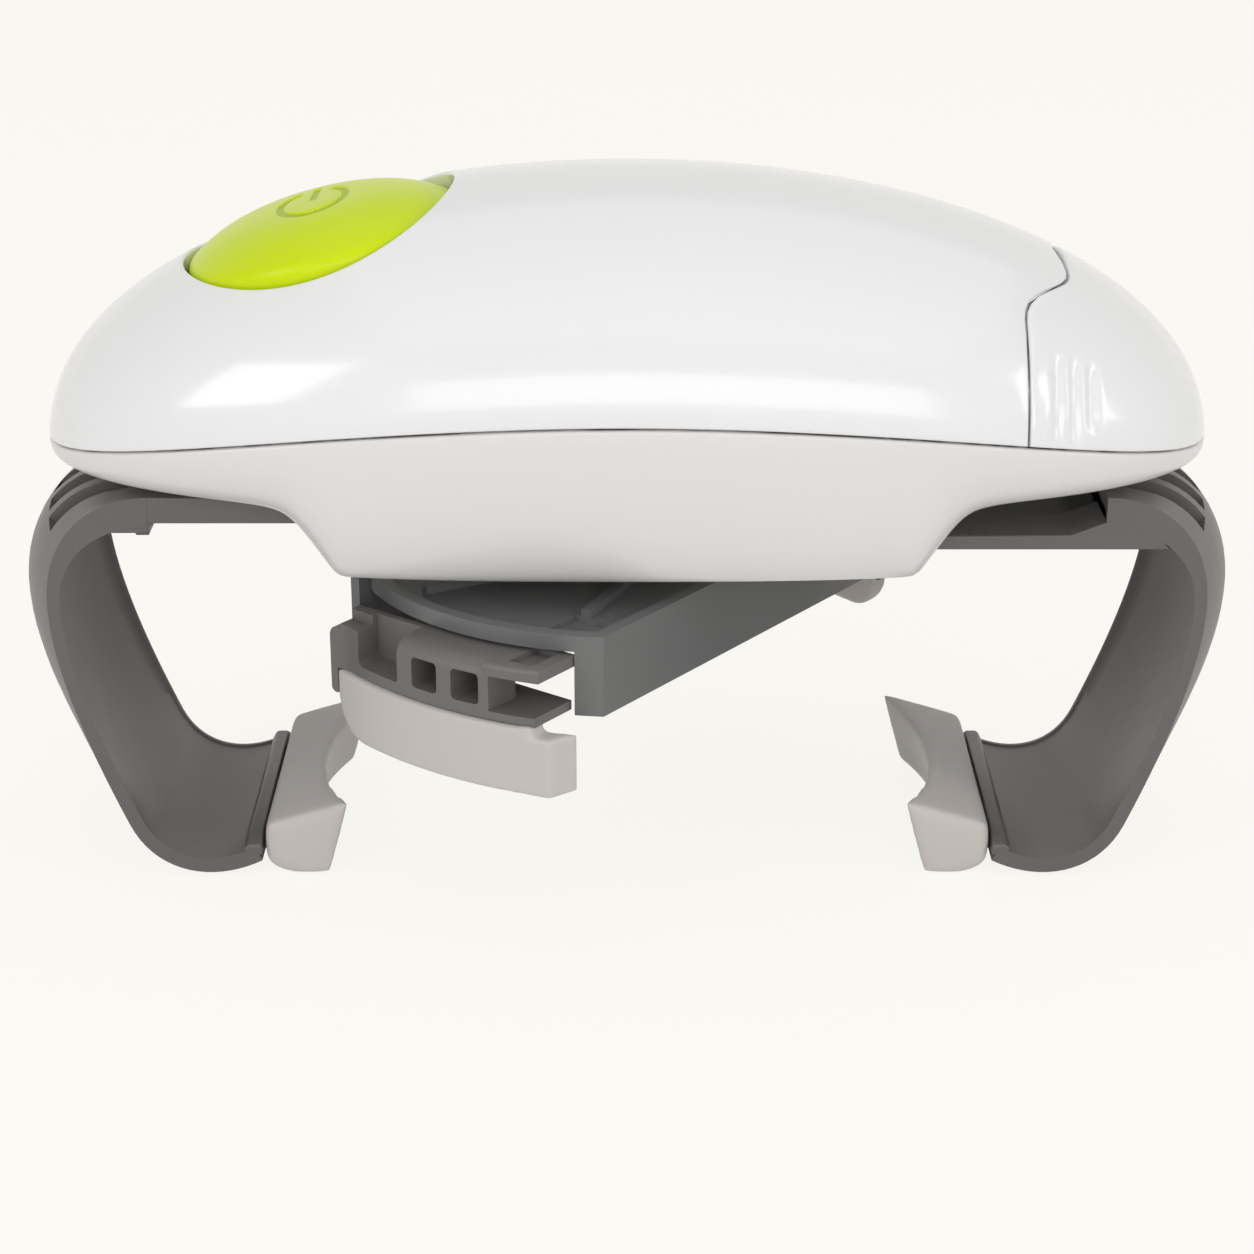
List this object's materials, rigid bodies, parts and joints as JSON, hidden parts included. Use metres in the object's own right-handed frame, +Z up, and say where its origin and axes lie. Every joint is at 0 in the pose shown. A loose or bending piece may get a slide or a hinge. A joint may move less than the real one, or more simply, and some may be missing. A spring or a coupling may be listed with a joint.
{
  "type": "electric jar opener",
  "caption": "Battery jar opener: arched white body with a lime button over two geared sliding arms that hold a jar and a turning clamp whose two geared jaws grip its lid.",
  "frame": {"origin": "on the clamp's axis, level with the undersides of the arm pads on which the opener stands", "axes": "+Z up along the clamp's axis; +X along the body towards the battery end; +Y away from the viewer of the picture"},
  "size_m": [0.181, 0.096, 0.1039],
  "materials": {
    "white_shell": "satin moulded white",
    "warm_white_shell": "satin moulded warm white",
    "lime_button": "glossy lime green",
    "arm_plastic": "satin dark grey",
    "arm_pad_rubber": "soft light warm grey",
    "carrier_plastic": "satin bluish grey",
    "jaw_plastic": "satin dark grey",
    "jaw_pad_rubber": "soft light grey",
    "gear_plastic": "natural moulded plastic",
    "tray_plastic": "black moulded plastic",
    "steel": "bright steel",
    "plate_steel": "zinc plated steel",
    "brass_part": "machined brass",
    "bush_plastic": "natural bearing plastic",
    "cell_jacket": "plain painted jacket",
    "board_laminate": "green laminate"
  },
  "bodies": {
    "body": {"upper_housing": "white_shell", "lower_housing": "warm_white_shell", "circuit_board": "board_laminate", "switch": "tray_plastic", "board_screws": "steel", "gear_plate_lower": "plate_steel", "gear_plate_upper": "plate_steel", "motor": "plate_steel", "gear_shafts": "steel", "output_bush": "bush_plastic", "battery_tray": "tray_plastic", "battery_1": "cell_jacket", "battery_2": "cell_jacket", "inner_contacts": "brass_part", "button_spring": "steel", "housing_screws": "steel", "gearbox_screws": "steel"},
    "cover": {"battery_cover": "white_shell", "bridge_contact": "brass_part"},
    "button": {"power_button": "lime_button"},
    "left_arm": {"left_arm": "arm_plastic", "left_arm_pad": "arm_pad_rubber"},
    "right_arm": {"right_arm": "arm_plastic", "right_arm_pad": "arm_pad_rubber"},
    "arm_pinion": {"arm_pinion": "gear_plastic"},
    "clamp": {"clamp_carrier": "carrier_plastic", "output_shaft": "steel", "output_gear": "gear_plastic", "shaft_clip": "steel", "pinion_washer": "steel", "clamp_screw": "steel"},
    "front_jaw": {"front_jaw": "jaw_plastic", "front_jaw_pad": "jaw_pad_rubber"},
    "rear_jaw": {"rear_jaw": "jaw_plastic", "rear_jaw_pad": "jaw_pad_rubber"},
    "jaw_pinion": {"jaw_pinion": "gear_plastic"},
    "gear_1": {"gear_1": "gear_plastic"},
    "gear_2": {"gear_2": "gear_plastic"},
    "gear_3": {"gear_3": "gear_plastic"},
    "rotor": {"motor_pinion": "brass_part"}
  },
  "joints": [
    {"name": "left_arm_slide", "type": "slide", "parent": "body", "child": "left_arm", "axis": [1, 0, 0], "range_m": [-0.004, 0.028]},
    {"name": "right_arm_slide", "type": "slide", "parent": "body", "child": "right_arm", "axis": [-1, 0, 0], "range_m": [-0.004, 0.028]},
    {"name": "arm_pinion_turn", "type": "hinge", "parent": "body", "child": "arm_pinion", "pos_m": [0, 0, 0.0585], "axis": [0, 0, 1], "range_deg": [-16.4, 114.7]},
    {"name": "clamp_turn", "type": "hinge", "parent": "body", "child": "clamp", "pos_m": [0, 0, 0.041], "axis": [0, 0, 1], "continuous": true},
    {"name": "front_jaw_slide", "type": "slide", "parent": "clamp", "child": "front_jaw", "axis": [0.6018, 0.7986, 0], "range_m": [-0.002, 0.027]},
    {"name": "rear_jaw_slide", "type": "slide", "parent": "clamp", "child": "rear_jaw", "axis": [-0.6018, -0.7986, 0], "range_m": [-0.002, 0.027]},
    {"name": "jaw_pinion_turn", "type": "hinge", "parent": "clamp", "child": "jaw_pinion", "pos_m": [0, 0, 0.0404], "axis": [0, 0, 1], "range_deg": [-129.2, 9.7]},
    {"name": "gear_3_turn", "type": "hinge", "parent": "body", "child": "gear_3", "pos_m": [-0.01576, -0.0091, 0.066], "axis": [0, 0, 1], "continuous": true},
    {"name": "gear_2_turn", "type": "hinge", "parent": "body", "child": "gear_2", "pos_m": [-0.00303, -0.01645, 0.069], "axis": [0, 0, 1], "continuous": true},
    {"name": "gear_1_turn", "type": "hinge", "parent": "body", "child": "gear_1", "pos_m": [0.002, -0.00264, 0.072], "axis": [0, 0, 1], "continuous": true},
    {"name": "rotor_turn", "type": "hinge", "parent": "body", "child": "rotor", "pos_m": [-0.00745, 0.00862, 0.074], "axis": [0, 0, 1], "continuous": true},
    {"name": "button_press", "type": "slide", "parent": "body", "child": "button", "axis": [0.2368, 0, -0.9715], "range_m": [0, 0.0015], "stiffness_N_per_m": 1200, "springref_m": -0.0008, "deforming": ["button_spring"]},
    {"name": "cover_slide", "type": "slide", "parent": "body", "child": "cover", "axis": [1, 0, 0], "range_m": [0, 0.03]}
  ],
  "couplings": [
    {"joint": "right_arm_slide", "follows": "left_arm_slide", "ratio": 1},
    {"joint": "arm_pinion_turn", "follows": "left_arm_slide", "rad_per_m": 71.429},
    {"joint": "rear_jaw_slide", "follows": "front_jaw_slide", "ratio": 1},
    {"joint": "jaw_pinion_turn", "follows": "front_jaw_slide", "rad_per_m": -83.333},
    {"joint": "gear_3_turn", "follows": "clamp_turn", "ratio": -3.3333},
    {"joint": "gear_2_turn", "follows": "clamp_turn", "ratio": 8.3333},
    {"joint": "gear_1_turn", "follows": "clamp_turn", "ratio": -20.833},
    {"joint": "rotor_turn", "follows": "clamp_turn", "ratio": 52.083}
  ]
}
